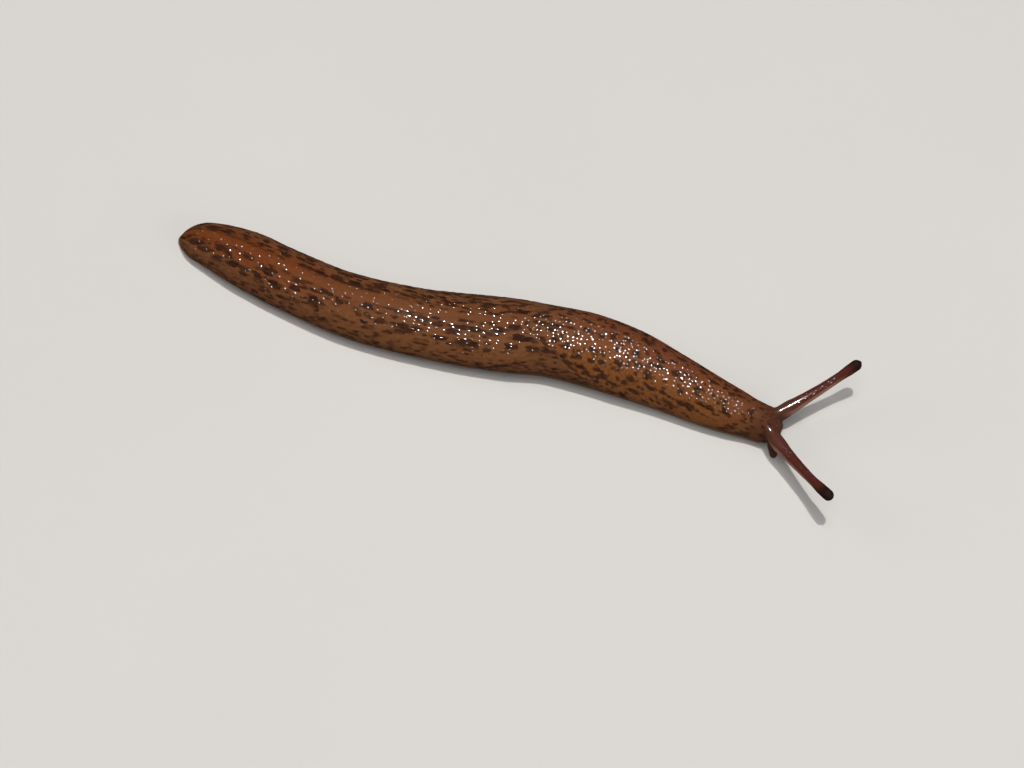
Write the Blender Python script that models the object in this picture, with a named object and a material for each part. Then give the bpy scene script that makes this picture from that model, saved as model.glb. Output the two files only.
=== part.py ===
"""A Metalimax slug crawling on level ground, at life size: closed solids, head towards +X, +Z up.

Every size below is in millimetres and becomes metres where a mesh is made. A place on the animal is
given by s, the distance along its crawl line from the tail's tip, and by turn, the angle round its
body in degrees, which is 0 on the ridge of the back, positive down the left side and negative down
the right one.
"""

import bmesh
import bpy
import numpy as np

MM = 0.001
GAP = 0.3  # between two pieces that touch

BODY_LENGTH = 80.0  # along the crawl line, tail's tip to the front of the head
CRAWL_START = (-43.703, 1.12)  # the tail's end, which puts the middle of the box over the origin
HEADING = [(0, 2.5), (7, -9), (14, -10), (20, -6), (26, 1.5), (33, 7), (40, 11),
           (48, 8.5), (56, -0.5), (63, -6.5), (70, -7), (75, -3.5), (80, -3)]

# The outline of the body, mantle included, at places along the crawl line
HALF_WIDTH = [(0, 2.0), (5, 3.3), (9, 3.83), (13, 3.97), (20, 4.06), (27, 4.34), (33, 4.5), (41, 4.9),
              (45, 4.9), (49, 4.55), (54, 4.6), (60, 4.36), (65, 3.77), (70, 3.26), (74, 2.8), (76.5, 2.4),
              (78, 2.35), (80, 2.4)]
RIDGE = [(0, 3.4), (5, 4.5), (10, 5.2), (20, 5.8), (30, 6.2), (41, 6.4), (46, 6.9), (50, 7.4), (55, 7.5),
         (60, 7.3), (66, 6.5), (71, 5.7), (75, 5.1), (78, 4.6), (80, 4.2)]
TAIL_ROUND = 2.8
TAIL_LEAN = 0.95  # how far the foot of the tail's end lies behind the ridge over it
TAIL_LEAN_END = 8.0
HEAD_ROUND = 1.9
WIDEST_SHARE = 0.40  # of the ridge's height, where the body is widest
WALL_END = 132.0  # the turn at which the wall ends, over the foot
KEEL = [(0, 0.0), (3, 0.22), (12, 0.3), (22, 0.22), (34, 0.0), (80, 0.0)]
KEEL_TURN = 15.0

FOOT_THICK = 0.9
FOOT_SHARE = 0.77  # of the body's half width
FOOT_TAIL = -0.9  # where the foot starts and ends along the crawl line
FOOT_HEAD = 79.6
FOOT_ROUND = 2.4
FOOT_RING = [(-0.9, 0), (-0.45, 0), (0, 0), (0.45, 0), (0.9, 0), (0.97, 0.14), (1, 0.42), (0.97, 0.7),
             (0.88, 1), (0.45, 1), (0, 1), (-0.45, 1), (-0.88, 1), (-0.97, 0.7), (-1, 0.42), (-0.97, 0.14)]

# The mantle: a shield on the front half of the back. Its rim is half a superellipse in front and a more
# pointed half behind, which meet where it reaches furthest round the body.
MANTLE_REAR = 45.6
MANTLE_MIDDLE = 62.5
MANTLE_FRONT = 76.8
MANTLE_TURN = 114.0
REAR_POWER = 1.25
FRONT_POWER = 2.4
MANTLE_THICK = 0.6
MANTLE_LIFT = 0.3  # of the mantle's surface over the body wall round it
MANTLE_GRID = (23, 29)  # points across and along
MANTLE_TOP = 0.985  # the reach of its upper and lower sheet
MANTLE_LOW = 0.98
MANTLE_EDGE = (0.86, 0.16)  # where the upper sheet starts to bend down, and how far it does
PORE_AT = (59.0, -94.0)  # the breathing pore, low on the right side
PORE_SIZE = (0.6, 0.3, 0.36)  # half of its length, width and depth

# The eye tentacles: root and middle of the end bulb as places, which are along the crawl line or its
# straight extension, to the left of it and up
HORNS = {
    "left": {"root": (78.85, 1.05, 3.25), "bulb": (85.9, 9.28, 7.0), "sag": 0.5},
    "right": {"root": (79.2, -1.75, 3.25), "bulb": (88.65, -8.4, 6.6), "sag": 0.5},
}
HORN_RADIUS = [(0, 1.15), (1.4, 0.98), (2.6, 0.84), (4.5, 0.7), (7, 0.59), (9.4, 0.57), (10.6, 0.66),
               (12, 0.68)]
HORN_START = -0.4  # inside the head
HORN_CUTS = (1.75, 4.6, 8.8)  # where the stub, root and shaft end along it
BULB_REACH = 0.62  # from the bulb's middle to its end
EYE_REACH = 0.55  # how much of that end is the eye's cap
EYE_ROUND = 0.66

# The lower tentacles, which feel the ground, and the lips between them
FEELERS = {
    "left": {"root": (79.0, 1.35, 1.95), "end": (80.1, 3.4, 0.9)},
    "right": {"root": (79.05, -1.4, 2.1), "end": (80.4, -3.3, 0.8)},
}
FEELER_RADIUS = [(0, 0.62), (1.0, 0.55), (2.0, 0.47), (3.0, 0.45)]
FEELER_START = -0.2
FEELER_CUT = 1.0
FEELER_ROUND = 0.45
LIPS = [(79.5, 0.4, 1.9, 0.62), (79.5, -0.65, 1.9, 0.62), (79.25, -0.3, 2.7, 0.88)]  # places and radius
MOUTH_AT = (80.0, -0.12, 1.72)
MOUTH_SIZE = (0.45, 0.7, 0.1)  # half of its depth, width and height

# Where the body and the foot are parted, along the crawl line
BODY_PARTS = {"tail": (0.25, 14), "back_rear": (14, 29), "back_front": (29, 44), "trunk_rear": (44, 59),
              "trunk_front": (59, 74), "neck": (74, 77.7), "head": (77.7, 80)}
FOOT_PARTS = {"foot_tail": (FOOT_TAIL, 20), "foot_rear": (20, 40), "foot_middle": (40, 60),
              "foot_front": (60, FOOT_HEAD)}
RING_STEP = 1.25
END_TURNS = (13, 32, 51, 70)  # the rings over a rounded end, in degrees of its quarter circle
WALL_POINTS = 37
BASE_POINTS = 6

COLOURS = {  # linear colour, roughness
    "skin": ((0.19, 0.075, 0.026), 0.3),
    "mantle": ((0.22, 0.085, 0.026), 0.3),
    "sole": ((0.30, 0.19, 0.11), 0.45),
    "horn": ((0.11, 0.028, 0.02), 0.25),
    "eye": ((0.006, 0.004, 0.004), 0.1),
}


def through(stations, at):
    """A smooth curve through (place, value) stations: cubics, each sloped at its ends by the neighbours."""
    place, value = np.array(stations, float).T
    at = np.clip(at, place[0], place[-1])
    slope = np.gradient(value, place)
    i = np.clip(np.searchsorted(place, at, "right") - 1, 0, len(place) - 2)
    step = place[i + 1] - place[i]
    t = (at - place[i]) / step
    return (value[i] * (1 + 2 * t) * (1 - t) ** 2 + value[i + 1] * t * t * (3 - 2 * t)
            + step * (slope[i] * t * (1 - t) ** 2 - slope[i + 1] * t * t * (1 - t)))


def rounded(distance, radius):
    """0 at an end, 1 from radius on, and a quarter circle between."""
    return np.sqrt(1 - np.clip(1 - distance / radius, 0, 1) ** 2)


def blend_up(x, low, high):
    """0 below low, 1 above high, and an even curve between."""
    t = np.clip((x - low) / (high - low), 0, 1)
    return t * t * (3 - 2 * t)


def crawl_line():
    """s, x, y and heading of the crawl line and its extension, summed from short steps along the heading."""
    s = np.arange(-2, BODY_LENGTH + 12, 0.05)
    heading = np.radians(through(HEADING, s))
    middle = (heading[1:] + heading[:-1]) / 2
    x = np.concatenate([[0], np.cumsum(np.cos(middle) * np.diff(s))])
    y = np.concatenate([[0], np.cumsum(np.sin(middle) * np.diff(s))])
    x += CRAWL_START[0] - np.interp(0, s, x)
    y += CRAWL_START[1] - np.interp(0, s, y)
    return s, x, y, heading


LINE = crawl_line()


def place(s, side, up):
    """The point at s along the crawl line, side to its left and up above the ground."""
    s, side, up = np.broadcast_arrays(s, side, up)
    x, y, heading = (np.interp(s, LINE[0], values) for values in LINE[1:])
    return np.stack([x - side * np.sin(heading), y + side * np.cos(heading), up], -1)


def ends(s):
    return rounded(s, TAIL_ROUND) * rounded(BODY_LENGTH - s, HEAD_ROUND)


def wall(s, turn, depth=0.0):
    """The body wall at s and turn, depth below the outline.

    Its upper part is half an ellipse, from the widest level to the ridge. Its lower part is the
    arc of another that runs in to the foot. The keel is a low bump along the ridge, and the tail's
    end leans, so that its lower part lies further back.
    """
    base = FOOT_THICK + GAP
    half = through(HALF_WIDTH, s) * ends(s) - depth
    ridge = base + (through(RIDGE, s) - base) * ends(s)
    widest = base + (through(RIDGE, s) * WIDEST_SHARE - base) * ends(s)
    angle = np.radians(turn)
    lower = (widest - base) / -np.cos(np.radians(WALL_END))
    up = widest + np.where(np.cos(angle) > 0, ridge - depth - widest, lower) * np.cos(angle)
    up = up + through(KEEL, s) * np.exp(-((turn / KEEL_TURN) ** 2)) * ends(s)
    lean = TAIL_LEAN * (1 - blend_up(s, 0, TAIL_LEAN_END)) * (1 - up / through(RIDGE, s))
    return place(s - lean, half * np.sin(angle), up)


def mantle_half(behind):
    """The mantle's length from its middle and the power of its rim, where behind is true or in front."""
    length = np.where(behind, MANTLE_MIDDLE - MANTLE_REAR, MANTLE_FRONT - MANTLE_MIDDLE)
    return length, np.where(behind, REAR_POWER, FRONT_POWER)


def mantle_reach(s, turn):
    """0 at the mantle's middle and 1 on its rim."""
    length, power = mantle_half(s < MANTLE_MIDDLE)
    along = np.abs(s - MANTLE_MIDDLE) / length
    across = np.abs(turn) / MANTLE_TURN
    return (along ** power + across ** power) ** (1 / power)


def body_depth(s, turn):
    """How far the body lies inside the outline: a little round the mantle, and more under it."""
    reach = mantle_reach(s, turn)
    near = MANTLE_LIFT * (1 - blend_up(reach, 1.0, 1.5))
    under = (MANTLE_THICK + GAP - MANTLE_LIFT) * (1 - blend_up(reach, 0.98, 1.12))
    return (near + under) * ends(s)


def material(name):
    colour, roughness = COLOURS[name]
    made = bpy.data.materials.get(name) or bpy.data.materials.new(name)
    made.use_nodes = True
    shader = made.node_tree.nodes["Principled BSDF"]
    shader.inputs["Base Color"].default_value = (*colour, 1)
    shader.inputs["Roughness"].default_value = roughness
    return made


def finish(name, bm, finish_name):
    """Makes the bmesh, which is in millimetres, an object of that name, shaded smooth."""
    bmesh.ops.recalc_face_normals(bm, faces=bm.faces)
    bmesh.ops.scale(bm, vec=(MM, MM, MM), verts=bm.verts)
    mesh = bpy.data.meshes.new(name)
    bm.to_mesh(mesh)
    bm.free()
    mesh.shade_smooth()
    mesh.set_sharp_from_angle(angle=np.radians(50))
    mesh.materials.append(material(finish_name))
    made = bpy.data.objects.new(name, mesh)
    bpy.context.scene.collection.objects.link(made)
    return made


def loft(name, rings, finish_name):
    """A closed solid through rings of points, with a fan of faces over each end."""
    bm = bmesh.new()
    loops = [[bm.verts.new(point) for point in ring] for ring in rings]
    for low, high in zip(loops, loops[1:]):
        for i in range(len(low)):
            bm.faces.new((low[i - 1], low[i], high[i], high[i - 1]))
    for loop, ring in ((loops[0], rings[0]), (loops[-1], rings[-1])):
        middle = bm.verts.new(np.mean(ring, axis=0))
        for i in range(len(loop)):
            bm.faces.new((loop[i - 1], loop[i], middle))
    return finish(name, bm, finish_name)


def stations_of(start, stop, start_open, stop_open, round_size):
    """Places of rings from start to stop, closer together towards a rounded end."""
    count = max(2, int(round((stop - start) / RING_STEP)) + 1)
    s = np.linspace(start, stop, count)
    crowd = round_size * (1 - np.cos(np.radians(END_TURNS)))
    if start_open:
        s = np.concatenate([start + crowd, s[s > start + round_size * 0.8]])
    if stop_open:
        s = np.concatenate([s[s < stop - round_size * 0.8], (stop - crowd)[::-1]])
    return s


def body_ring(s):
    """One ring round the body: its wall from right to left over the back, then its flat underside."""
    turn = np.linspace(-WALL_END, WALL_END, WALL_POINTS)
    over = wall(np.full(WALL_POINTS, s), turn, body_depth(s, turn))
    share = np.linspace(0, 1, BASE_POINTS + 2)[1:-1, None]
    under = over[-1] * (1 - share) + over[0] * share
    return np.concatenate([over, under])


def body_parts():
    """The lengths of the body from the tail to the neck, and the head's own loft."""
    made = {}
    for name, (start, stop) in BODY_PARTS.items():
        first, last = name == "tail", name == "head"
        start += 0 if first else GAP / 2
        stop -= 0.02 if last else GAP / 2
        s = stations_of(start, stop, first, last, TAIL_ROUND if first else HEAD_ROUND)
        made[name] = loft(name, [body_ring(x) for x in s], "skin")
    return made


def foot_parts():
    """The foot's lengths. A ring is flat below, with a rounded fringe, and flat on top."""
    side, up = np.array(FOOT_RING).T
    for name, (start, stop) in FOOT_PARTS.items():
        first, last = name == "foot_tail", name == "foot_front"
        start += 0 if first else GAP / 2
        stop -= 0 if last else GAP / 2
        rings = []
        for s in stations_of(start, stop, first, last, FOOT_ROUND):
            half = FOOT_SHARE * through(HALF_WIDTH, s) * rounded(s - FOOT_TAIL, FOOT_ROUND)
            half *= rounded(FOOT_HEAD - s, FOOT_ROUND)
            rings.append(place(s, side * half, up * FOOT_THICK))
        loft(name, rings, "sole")


def mantle():
    """The shield: a square grid drawn out to its rim, between the body and the outline, with a round edge."""
    across, along = np.meshgrid(*(np.linspace(-1, 1, count) for count in MANTLE_GRID))
    disc_x = along * np.sqrt(1 - across ** 2 / 2)
    disc_y = across * np.sqrt(1 - along ** 2 / 2)
    reach = np.hypot(disc_x, disc_y)
    angle = np.arctan2(disc_y, disc_x)
    length, power = mantle_half(disc_x < 0)
    rim_at = (np.abs(np.cos(angle)) ** power + np.abs(np.sin(angle)) ** power) ** (-1 / power)

    def sheet(size, depth):
        s = MANTLE_MIDDLE + length * size * rim_at * reach * np.cos(angle)
        return wall(s, MANTLE_TURN * size * rim_at * reach * np.sin(angle), depth)

    edge_drop = MANTLE_EDGE[1] * blend_up(reach, MANTLE_EDGE[0], 1.0)
    top = sheet(MANTLE_TOP, edge_drop)
    low = sheet(MANTLE_LOW, MANTLE_THICK - 0.6 * edge_drop)
    rows, columns = reach.shape
    border = ([(0, j) for j in range(columns - 1)] + [(i, columns - 1) for i in range(rows - 1)]
              + [(rows - 1, j) for j in range(columns - 1, 0, -1)] + [(i, 0) for i in range(rows - 1, 0, -1)])
    rim = sheet(1.0, MANTLE_THICK / 2)
    bm = bmesh.new()
    sheets = [[[bm.verts.new(p) for p in row] for row in grid] for grid in (top, low)]
    for grid in sheets:
        for i in range(rows - 1):
            for j in range(columns - 1):
                bm.faces.new((grid[i][j], grid[i][j + 1], grid[i + 1][j + 1], grid[i + 1][j]))
    middle = [bm.verts.new(rim[at]) for at in border]
    for grid in sheets:
        edge = [grid[i][j] for i, j in border]
        for k in range(len(border)):
            bm.faces.new((edge[k - 1], edge[k], middle[k], middle[k - 1]))
    pore = wall(*PORE_AT)
    ahead = wall(PORE_AT[0] + 0.5, PORE_AT[1]) - pore
    around = wall(PORE_AT[0], PORE_AT[1] - 4) - pore
    hollow(finish("mantle", bm, "mantle"), "pore", pore, ahead, around, PORE_SIZE)


def egg(name, centre, ahead, around, size, finish_name, detail=3):
    """An egg with its half sizes along ahead, along around and across both."""
    ahead, around = ahead / np.linalg.norm(ahead), around / np.linalg.norm(around)
    axes = np.stack([ahead, around, np.cross(ahead, around)])
    bm = bmesh.new()
    bmesh.ops.create_icosphere(bm, subdivisions=detail, radius=1)
    for v in bm.verts:
        v.co = centre + (np.array(v.co) * size) @ axes
    return finish(name, bm, finish_name)


def boolean(target, operation):
    """Adds an exact Boolean of that operation to the target."""
    modifier = target.modifiers.new(operation.lower(), "BOOLEAN")
    modifier.operation = operation
    modifier.solver = "EXACT"
    return modifier


def settle(target):
    """Applies the target's modifiers and keeps its largest closed surface."""
    graph = bpy.context.evaluated_depsgraph_get()
    target.data = bpy.data.meshes.new_from_object(target.evaluated_get(graph))
    target.modifiers.clear()
    bm = bmesh.new()
    bm.from_mesh(target.data)
    left, surfaces = set(bm.faces), []
    while left:
        surface, reached = [], [left.pop()]
        while reached:
            face = reached.pop()
            surface.append(face)
            new = {other for edge in face.edges for other in edge.link_faces} & left
            left -= new
            reached += new
        surfaces.append(surface)
    surfaces.sort(key=lambda surface: sum(face.calc_area() for face in surface))
    bmesh.ops.delete(bm, geom=[face for surface in surfaces[:-1] for face in surface], context="FACES")
    bm.to_mesh(target.data)
    bm.free()


def hollow(target, name, centre, ahead, around, size):
    """Sinks an egg into the target."""
    cutter = egg(name + "_cutter", centre, ahead, around, size, "skin", 2)
    boolean(target, "DIFFERENCE").object = cutter
    settle(target)
    bpy.data.objects.remove(cutter)


def tube(start, stop, bend, radius_at, begin, end, round_size=0.0, step=0.7, sides=14):
    """Rings round an axis from start to stop that sags by bend, between two distances along it.

    Where round_size is set, the last stretch of that length rounds off to a tip.
    """
    length = np.linalg.norm(stop - start)
    at = np.linspace(begin, end, max(2, int(round((end - begin) / step)) + 1))
    if round_size:
        crowd = round_size * (1 - np.cos(np.radians(END_TURNS)))
        straight = at[(at > begin) & (at < end - round_size)]
        at = np.concatenate([[begin], straight, (end - crowd[crowd < end - begin])[::-1]])
    t = at / length
    axis = start + (stop - start) * t[:, None]
    axis[:, 2] -= bend * 4 * t * (1 - t)
    along = stop - start - np.array([0, 0, 1]) * (bend * 4 * (1 - 2 * t))[:, None]
    along /= np.linalg.norm(along, axis=1)[:, None]
    side = np.cross([0, 0, 1], along)
    side /= np.linalg.norm(side, axis=1)[:, None]
    up = np.cross(along, side)
    radius = through(radius_at, at)
    if round_size:
        radius = radius * rounded(end - at, round_size)
    turn = np.linspace(0, 2 * np.pi, sides, endpoint=False)[:, None]
    return [c + r * (np.cos(turn) * a + np.sin(turn) * b) for c, r, a, b in zip(axis, radius, side, up)]


def horns_and_feelers(head):
    """Both pairs of tentacles in their lengths. Their stubs and the lips are fused with the head."""
    fused = []
    for side, horn in HORNS.items():
        root, bulb = place(*horn["root"]), place(*horn["bulb"])
        length = np.linalg.norm(bulb - root) + BULB_REACH
        stub, root_end, shaft_end = HORN_CUTS
        eye_start = length - EYE_REACH
        parts = {"root": (stub + GAP, root_end), "shaft": (root_end + GAP, shaft_end),
                 "bulb": (shaft_end + GAP, eye_start - GAP)}
        for part, (begin, end) in parts.items():
            loft(f"{side}_tentacle_{part}", tube(root, bulb, horn["sag"], HORN_RADIUS, begin, end), "horn")
        loft(f"{side}_eye", tube(root, bulb, horn["sag"], HORN_RADIUS, eye_start, length, EYE_ROUND), "eye")
        stub_rings = tube(root, bulb, horn["sag"], HORN_RADIUS, HORN_START, stub)
        fused.append(loft(f"{side}_stub", stub_rings, "skin"))
    for side, feeler in FEELERS.items():
        root, end = place(*feeler["root"]), place(*feeler["end"])
        length = np.linalg.norm(end - root)
        rings = tube(root, end, 0, FEELER_RADIUS, FEELER_CUT + GAP, length, FEELER_ROUND)
        loft(f"{side}_feeler", rings, "horn")
        stub_rings = tube(root, end, 0, FEELER_RADIUS, FEELER_START, FEELER_CUT)
        fused.append(loft(f"{side}_feeler_stub", stub_rings, "skin"))
    ahead, left = place(81.0, 0, 0) - place(80.0, 0, 0), place(80.0, 1, 0) - place(80.0, 0, 0)
    for s, side, up, radius in LIPS:
        fused.append(egg("lip", place(s, side, up), ahead, left, radius, "skin"))
    join(head, fused)
    hollow(head, "mouth", place(*MOUTH_AT), ahead, left, MOUTH_SIZE)


def join(target, others):
    """Fuses the others with the target in one union."""
    group = bpy.data.collections.new("fused")
    bpy.context.scene.collection.children.link(group)
    for other in others:
        bpy.context.scene.collection.objects.unlink(other)
        group.objects.link(other)
    modifier = boolean(target, "UNION")
    modifier.operand_type = "COLLECTION"
    modifier.collection = group
    settle(target)
    for other in others:
        bpy.data.objects.remove(other)
    bpy.data.collections.remove(group)


def main():
    for old in list(bpy.data.objects):
        bpy.data.objects.remove(old)
    body = body_parts()
    foot_parts()
    mantle()
    horns_and_feelers(body["head"])


main()
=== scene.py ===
"""Looks of the crawling slug: one skin over body, foot and tentacles, the shield of its mantle, and its eyes.

Sizes are in millimetres until a mesh is made. A place on the animal is s along its crawl line from the
tail's tip, side to the left of that line and up from the ground, or s and turn, the angle round the body
in degrees, which is 0 on the ridge of the back, positive down the left side and negative down the right.
The values and the shape of the wall are those of the solids.
"""

import bpy
import numpy as np
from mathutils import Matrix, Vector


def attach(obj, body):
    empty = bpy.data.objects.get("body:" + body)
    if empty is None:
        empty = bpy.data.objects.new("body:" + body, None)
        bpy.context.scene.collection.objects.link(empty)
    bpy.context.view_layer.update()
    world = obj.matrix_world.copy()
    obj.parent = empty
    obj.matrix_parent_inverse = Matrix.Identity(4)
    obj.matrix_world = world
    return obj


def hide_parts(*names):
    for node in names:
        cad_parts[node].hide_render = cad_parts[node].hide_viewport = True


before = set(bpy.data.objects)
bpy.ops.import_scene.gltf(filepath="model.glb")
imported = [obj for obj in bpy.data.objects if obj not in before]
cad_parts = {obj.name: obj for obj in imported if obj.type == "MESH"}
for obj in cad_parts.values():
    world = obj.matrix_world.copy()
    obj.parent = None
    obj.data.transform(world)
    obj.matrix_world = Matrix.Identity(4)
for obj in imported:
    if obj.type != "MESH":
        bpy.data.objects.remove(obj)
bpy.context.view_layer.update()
MM = 0.001
UP = np.array([0, 0, 1.0])

# The crawl line
BODY_LENGTH = 80.0
CRAWL_START = (-43.703, 1.12)
HEADING = [(0, 2.5), (7, -9), (14, -10), (20, -6), (26, 1.5), (33, 7), (40, 11),
           (48, 8.5), (56, -0.5), (63, -6.5), (70, -7), (75, -3.5), (80, -3)]

# The outline of the body, mantle included
HALF_WIDTH = [(0, 2.0), (5, 3.3), (9, 3.83), (13, 3.97), (20, 4.06), (27, 4.34), (33, 4.5), (41, 4.9),
              (45, 4.9), (49, 4.55), (54, 4.6), (60, 4.36), (65, 3.77), (70, 3.26), (74, 2.8), (76.5, 2.4),
              (78, 2.35), (80, 2.4)]
RIDGE = [(0, 3.4), (5, 4.5), (10, 5.2), (20, 5.8), (30, 6.2), (41, 6.4), (46, 6.9), (50, 7.4), (55, 7.5),
         (60, 7.3), (66, 6.5), (71, 5.7), (75, 5.1), (78, 4.6), (80, 4.2)]
TAIL_ROUND = 2.8
TAIL_LEAN = 0.95
TAIL_LEAN_END = 8.0
HEAD_ROUND = 1.9
WIDEST_SHARE = 0.40
WALL_END = 132.0
WALL_BASE = 1.2  # where the wall ends above the ground
KEEL = [(0, 0.0), (3, 0.22), (12, 0.3), (22, 0.22), (34, 0.0), (80, 0.0)]
KEEL_TURN = 15.0

# The foot's fringe from the wall's end to the flat sole, as shares of the half width and heights
FRINGE = [(0.715, 1.09), (0.70, 0.98), (0.712, 0.86), (0.745, 0.72), (0.775, 0.54), (0.788, 0.36),
          (0.78, 0.18), (0.745, 0.06), (0.69, 0.005)]
SOLE_COLUMNS = 11
SOLE_GROOVE = (0.24, 0.05, 0.035)  # its place and width as shares of the half width, and its height
FOOT_TAIL_SHIFT = (-0.6, -0.9)  # of the tail's end along the line, at the wall's lower edge and in the foot
FOOT_HEAD_SHIFT = (-0.9, 0.5)  # of the foot in front, before the head's dome and over it
FOOT_HEAD_BLEND = (70, 78.1)  # where the first of these comes in
FOOT_COLUMN = 4.0  # degrees of turn that each column beyond the wall stands for
FOOT_BLEND = 12.0  # degrees beyond the wall over which the shifts and the looks of the foot come in

# The mantle
MANTLE_REAR = 45.6
MANTLE_MIDDLE = 62.5
MANTLE_FRONT = 76.8
MANTLE_TURN = 114.0
REAR_POWER = 1.25
FRONT_POWER = 2.4
MANTLE_STEP = 0.04  # the body's skin lies this far below it at its rim
COVERED_DEPTH = 0.5  # and this much further under it
MANTLE_EDGE = 0.045  # the share of its reach over which its edge is rounded
MANTLE_DROP = 0.34  # how far the edge comes down
MANTLE_HOLLOW = 0.12  # how much thicker the shield is away from its edge
MANTLE_POINTS = (151, 271)  # across and along
PORE_AT = (59.0, -94.0)
PORE_SIZE = (0.6, 0.3, 0.36)  # half of its length and width, and its depth

# The tentacles
HORNS = {
    "left": {"root": (78.85, 1.05, 3.25), "bulb": (85.9, 9.28, 7.0), "sag": 0.5, "at": (59.0, 40.0)},
    "right": {"root": (79.2, -1.75, 3.25), "bulb": (88.65, -8.4, 6.6), "sag": 0.5, "at": (62.0, -43.0)},
}
HORN_RADIUS = [(0, 1.15), (1.4, 0.98), (2.6, 0.84), (4.5, 0.7), (7, 0.59), (9.4, 0.57), (10.6, 0.66),
               (12, 0.68)]
HORN_GROWTH = (1.75, 0.68, 12, 0.16)  # first circle, rounded end, steps to that circle, and between rings
HORN_SOFT = (1.3, 2.6)  # where along it the easing of its root ends
BULB_REACH = 0.62
HORN_HOLE = (28.0, 30.0)  # half of a tentacle's opening, over the dome and round the body
FEELERS = {
    "left": {"root": (79.0, 1.35, 1.95), "end": (80.1, 3.4, 0.9), "at": (51.0, 93.0)},
    "right": {"root": (79.05, -1.4, 2.1), "end": (80.4, -3.3, 0.8), "at": (51.0, -93.0)},
}
FEELER_RADIUS = [(0, 0.62), (1.0, 0.55), (2.0, 0.47), (3.0, 0.45)]
FEELER_HOLE = (15.0, 16.0)
FEELER_GROWTH = (0.95, 0.45, 7, 0.1)
FEELER_SOFT = (0.7, 1.2)
CAP_RINGS = 12  # over a rounded end, and its tip
FLARE_SLOPES = (0.55, 1.1)  # of a flare where it leaves the skin and where it meets the first circle
ROOT_FADE = 1.2  # the way along a tentacle over which its places on the skin become one
ROOT_BULGE = ((78.45, -1.4, 4.25), 0.16, 0.5)  # a swelling by the right tentacle: place, height and width
GLOW_PAINT_SIDE = np.array([0.1, -0.82, -0.56])  # the way that the side of the tentacles faces that is painted paler, as painted light shining through them
LIPS = [(79.5, 0.4, 1.9, 0.62), (79.5, -0.65, 1.9, 0.62), (79.25, -0.3, 2.7, 0.88)]
MOUTH_AT = (80.0, -0.12, 1.72)

# The eyes
EYE_RADIUS = 0.3
EYE_SUNK = 0.21  # of its middle behind the tentacle's end
EYE_POINTS = (25, 48)  # from pole to pole and round it

# The relief of the skin
CELL_EDGE = 0.1  # of a cell's width, which its point keeps from its edges
TUBERCLE = (1.35, 0.56)  # length and width
HEAD_GRAIN = (0.42, 0.36)
MANTLE_GRAIN = (0.68, 0.62)
NECK_FOLD = 0.62  # from fold to fold
FRINGE_FOLD = 0.55
HORN_RING = 0.36

# The camera and the light
LOOK_AT = (2.222, -4.088, 0.0)
AZIMUTH = 19.59
ELEVATION = 62.0
DISTANCE = 360.0
LENS = 102.06
KEY_LAMP = ("key", (0.085, 0.03, 1.0), 0.022, 5.0, (1.0, 0.98, 0.95))  # place, size, power, colour
SPARK_LAMP = ("spark", (-0.05, 0.06, 1.0), 0.022, 12.0, (1.0, 0.98, 0.97))  # for what is wet alone
SOFT_LAMPS = [
    ("over_soft", (0.1, -0.2, 1.0), 0.6, 3.2, (1.0, 0.99, 0.97)),
    ("left_soft", (-1.1, -0.1, 0.75), 0.9, 4.0, (1.0, 0.99, 0.97)),
    ("right_soft", (1.15, -0.35, 0.6), 0.9, 3.2, (0.97, 0.98, 1.0)),
]
FLOOR = (3.0, 3.0, -1e-5)  # half its size, and its height


# Curves and noise

def through(stations, at):
    """A smooth curve through (place, value) stations: cubics, each sloped at its ends by the neighbours."""
    place, value = np.array(stations, float).T
    at = np.clip(at, place[0], place[-1])
    slope = np.gradient(value, place)
    i = np.clip(np.searchsorted(place, at, "right") - 1, 0, len(place) - 2)
    step = place[i + 1] - place[i]
    t = (at - place[i]) / step
    return (value[i] * (1 + 2 * t) * (1 - t) ** 2 + value[i + 1] * t * t * (3 - 2 * t)
            + step * (slope[i] * t * (1 - t) ** 2 - slope[i + 1] * t * t * (1 - t)))


def rounded(distance, radius):
    """0 at an end, 1 from radius on, and a quarter circle between."""
    return np.sqrt(1 - np.clip(1 - distance / radius, 0, 1) ** 2)


def blend_up(x, low, high):
    """0 below low, 1 above high, and an even curve between."""
    t = np.clip((x - low) / (high - low), 0, 1)
    return t * t * (3 - 2 * t)


def hump(x, middle, width):
    """1 at the middle, falling off to both sides as a bell."""
    return np.exp(-(((x - middle) / width) ** 2))


def unit(vectors):
    return vectors / np.maximum(np.linalg.norm(vectors, axis=-1, keepdims=True), 1e-12)


def chance(i, j, seed):
    """An even draw from 0 to 1 for each whole (i, j): their bits, multiplied and folded over themselves."""
    mixed = (i.astype(np.int64) * 73856093) ^ (j.astype(np.int64) * 19349663) ^ (seed * 83492791)
    mixed = (mixed & 0xFFFFFFFF).astype(np.uint64)
    for _ in range(2):
        mixed = ((mixed >> np.uint64(16)) ^ mixed) * np.uint64(0x45D9F3B) & np.uint64(0xFFFFFFFF)
    return ((mixed >> np.uint64(16)) ^ mixed).astype(float) / 0xFFFFFFFF


def swell(x, y, seed):
    """Smooth noise from -1 to 1: a draw at each whole point, blended between the nearest four."""
    i, j = np.floor(x), np.floor(y)
    a, b = blend_up(x - i, 0, 1), blend_up(y - j, 0, 1)
    low, high = (chance(i, k, seed) * (1 - a) + chance(i + 1, k, seed) * a for k in (j, j + 1))
    return 2 * (low * (1 - b) + high * b) - 1


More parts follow.
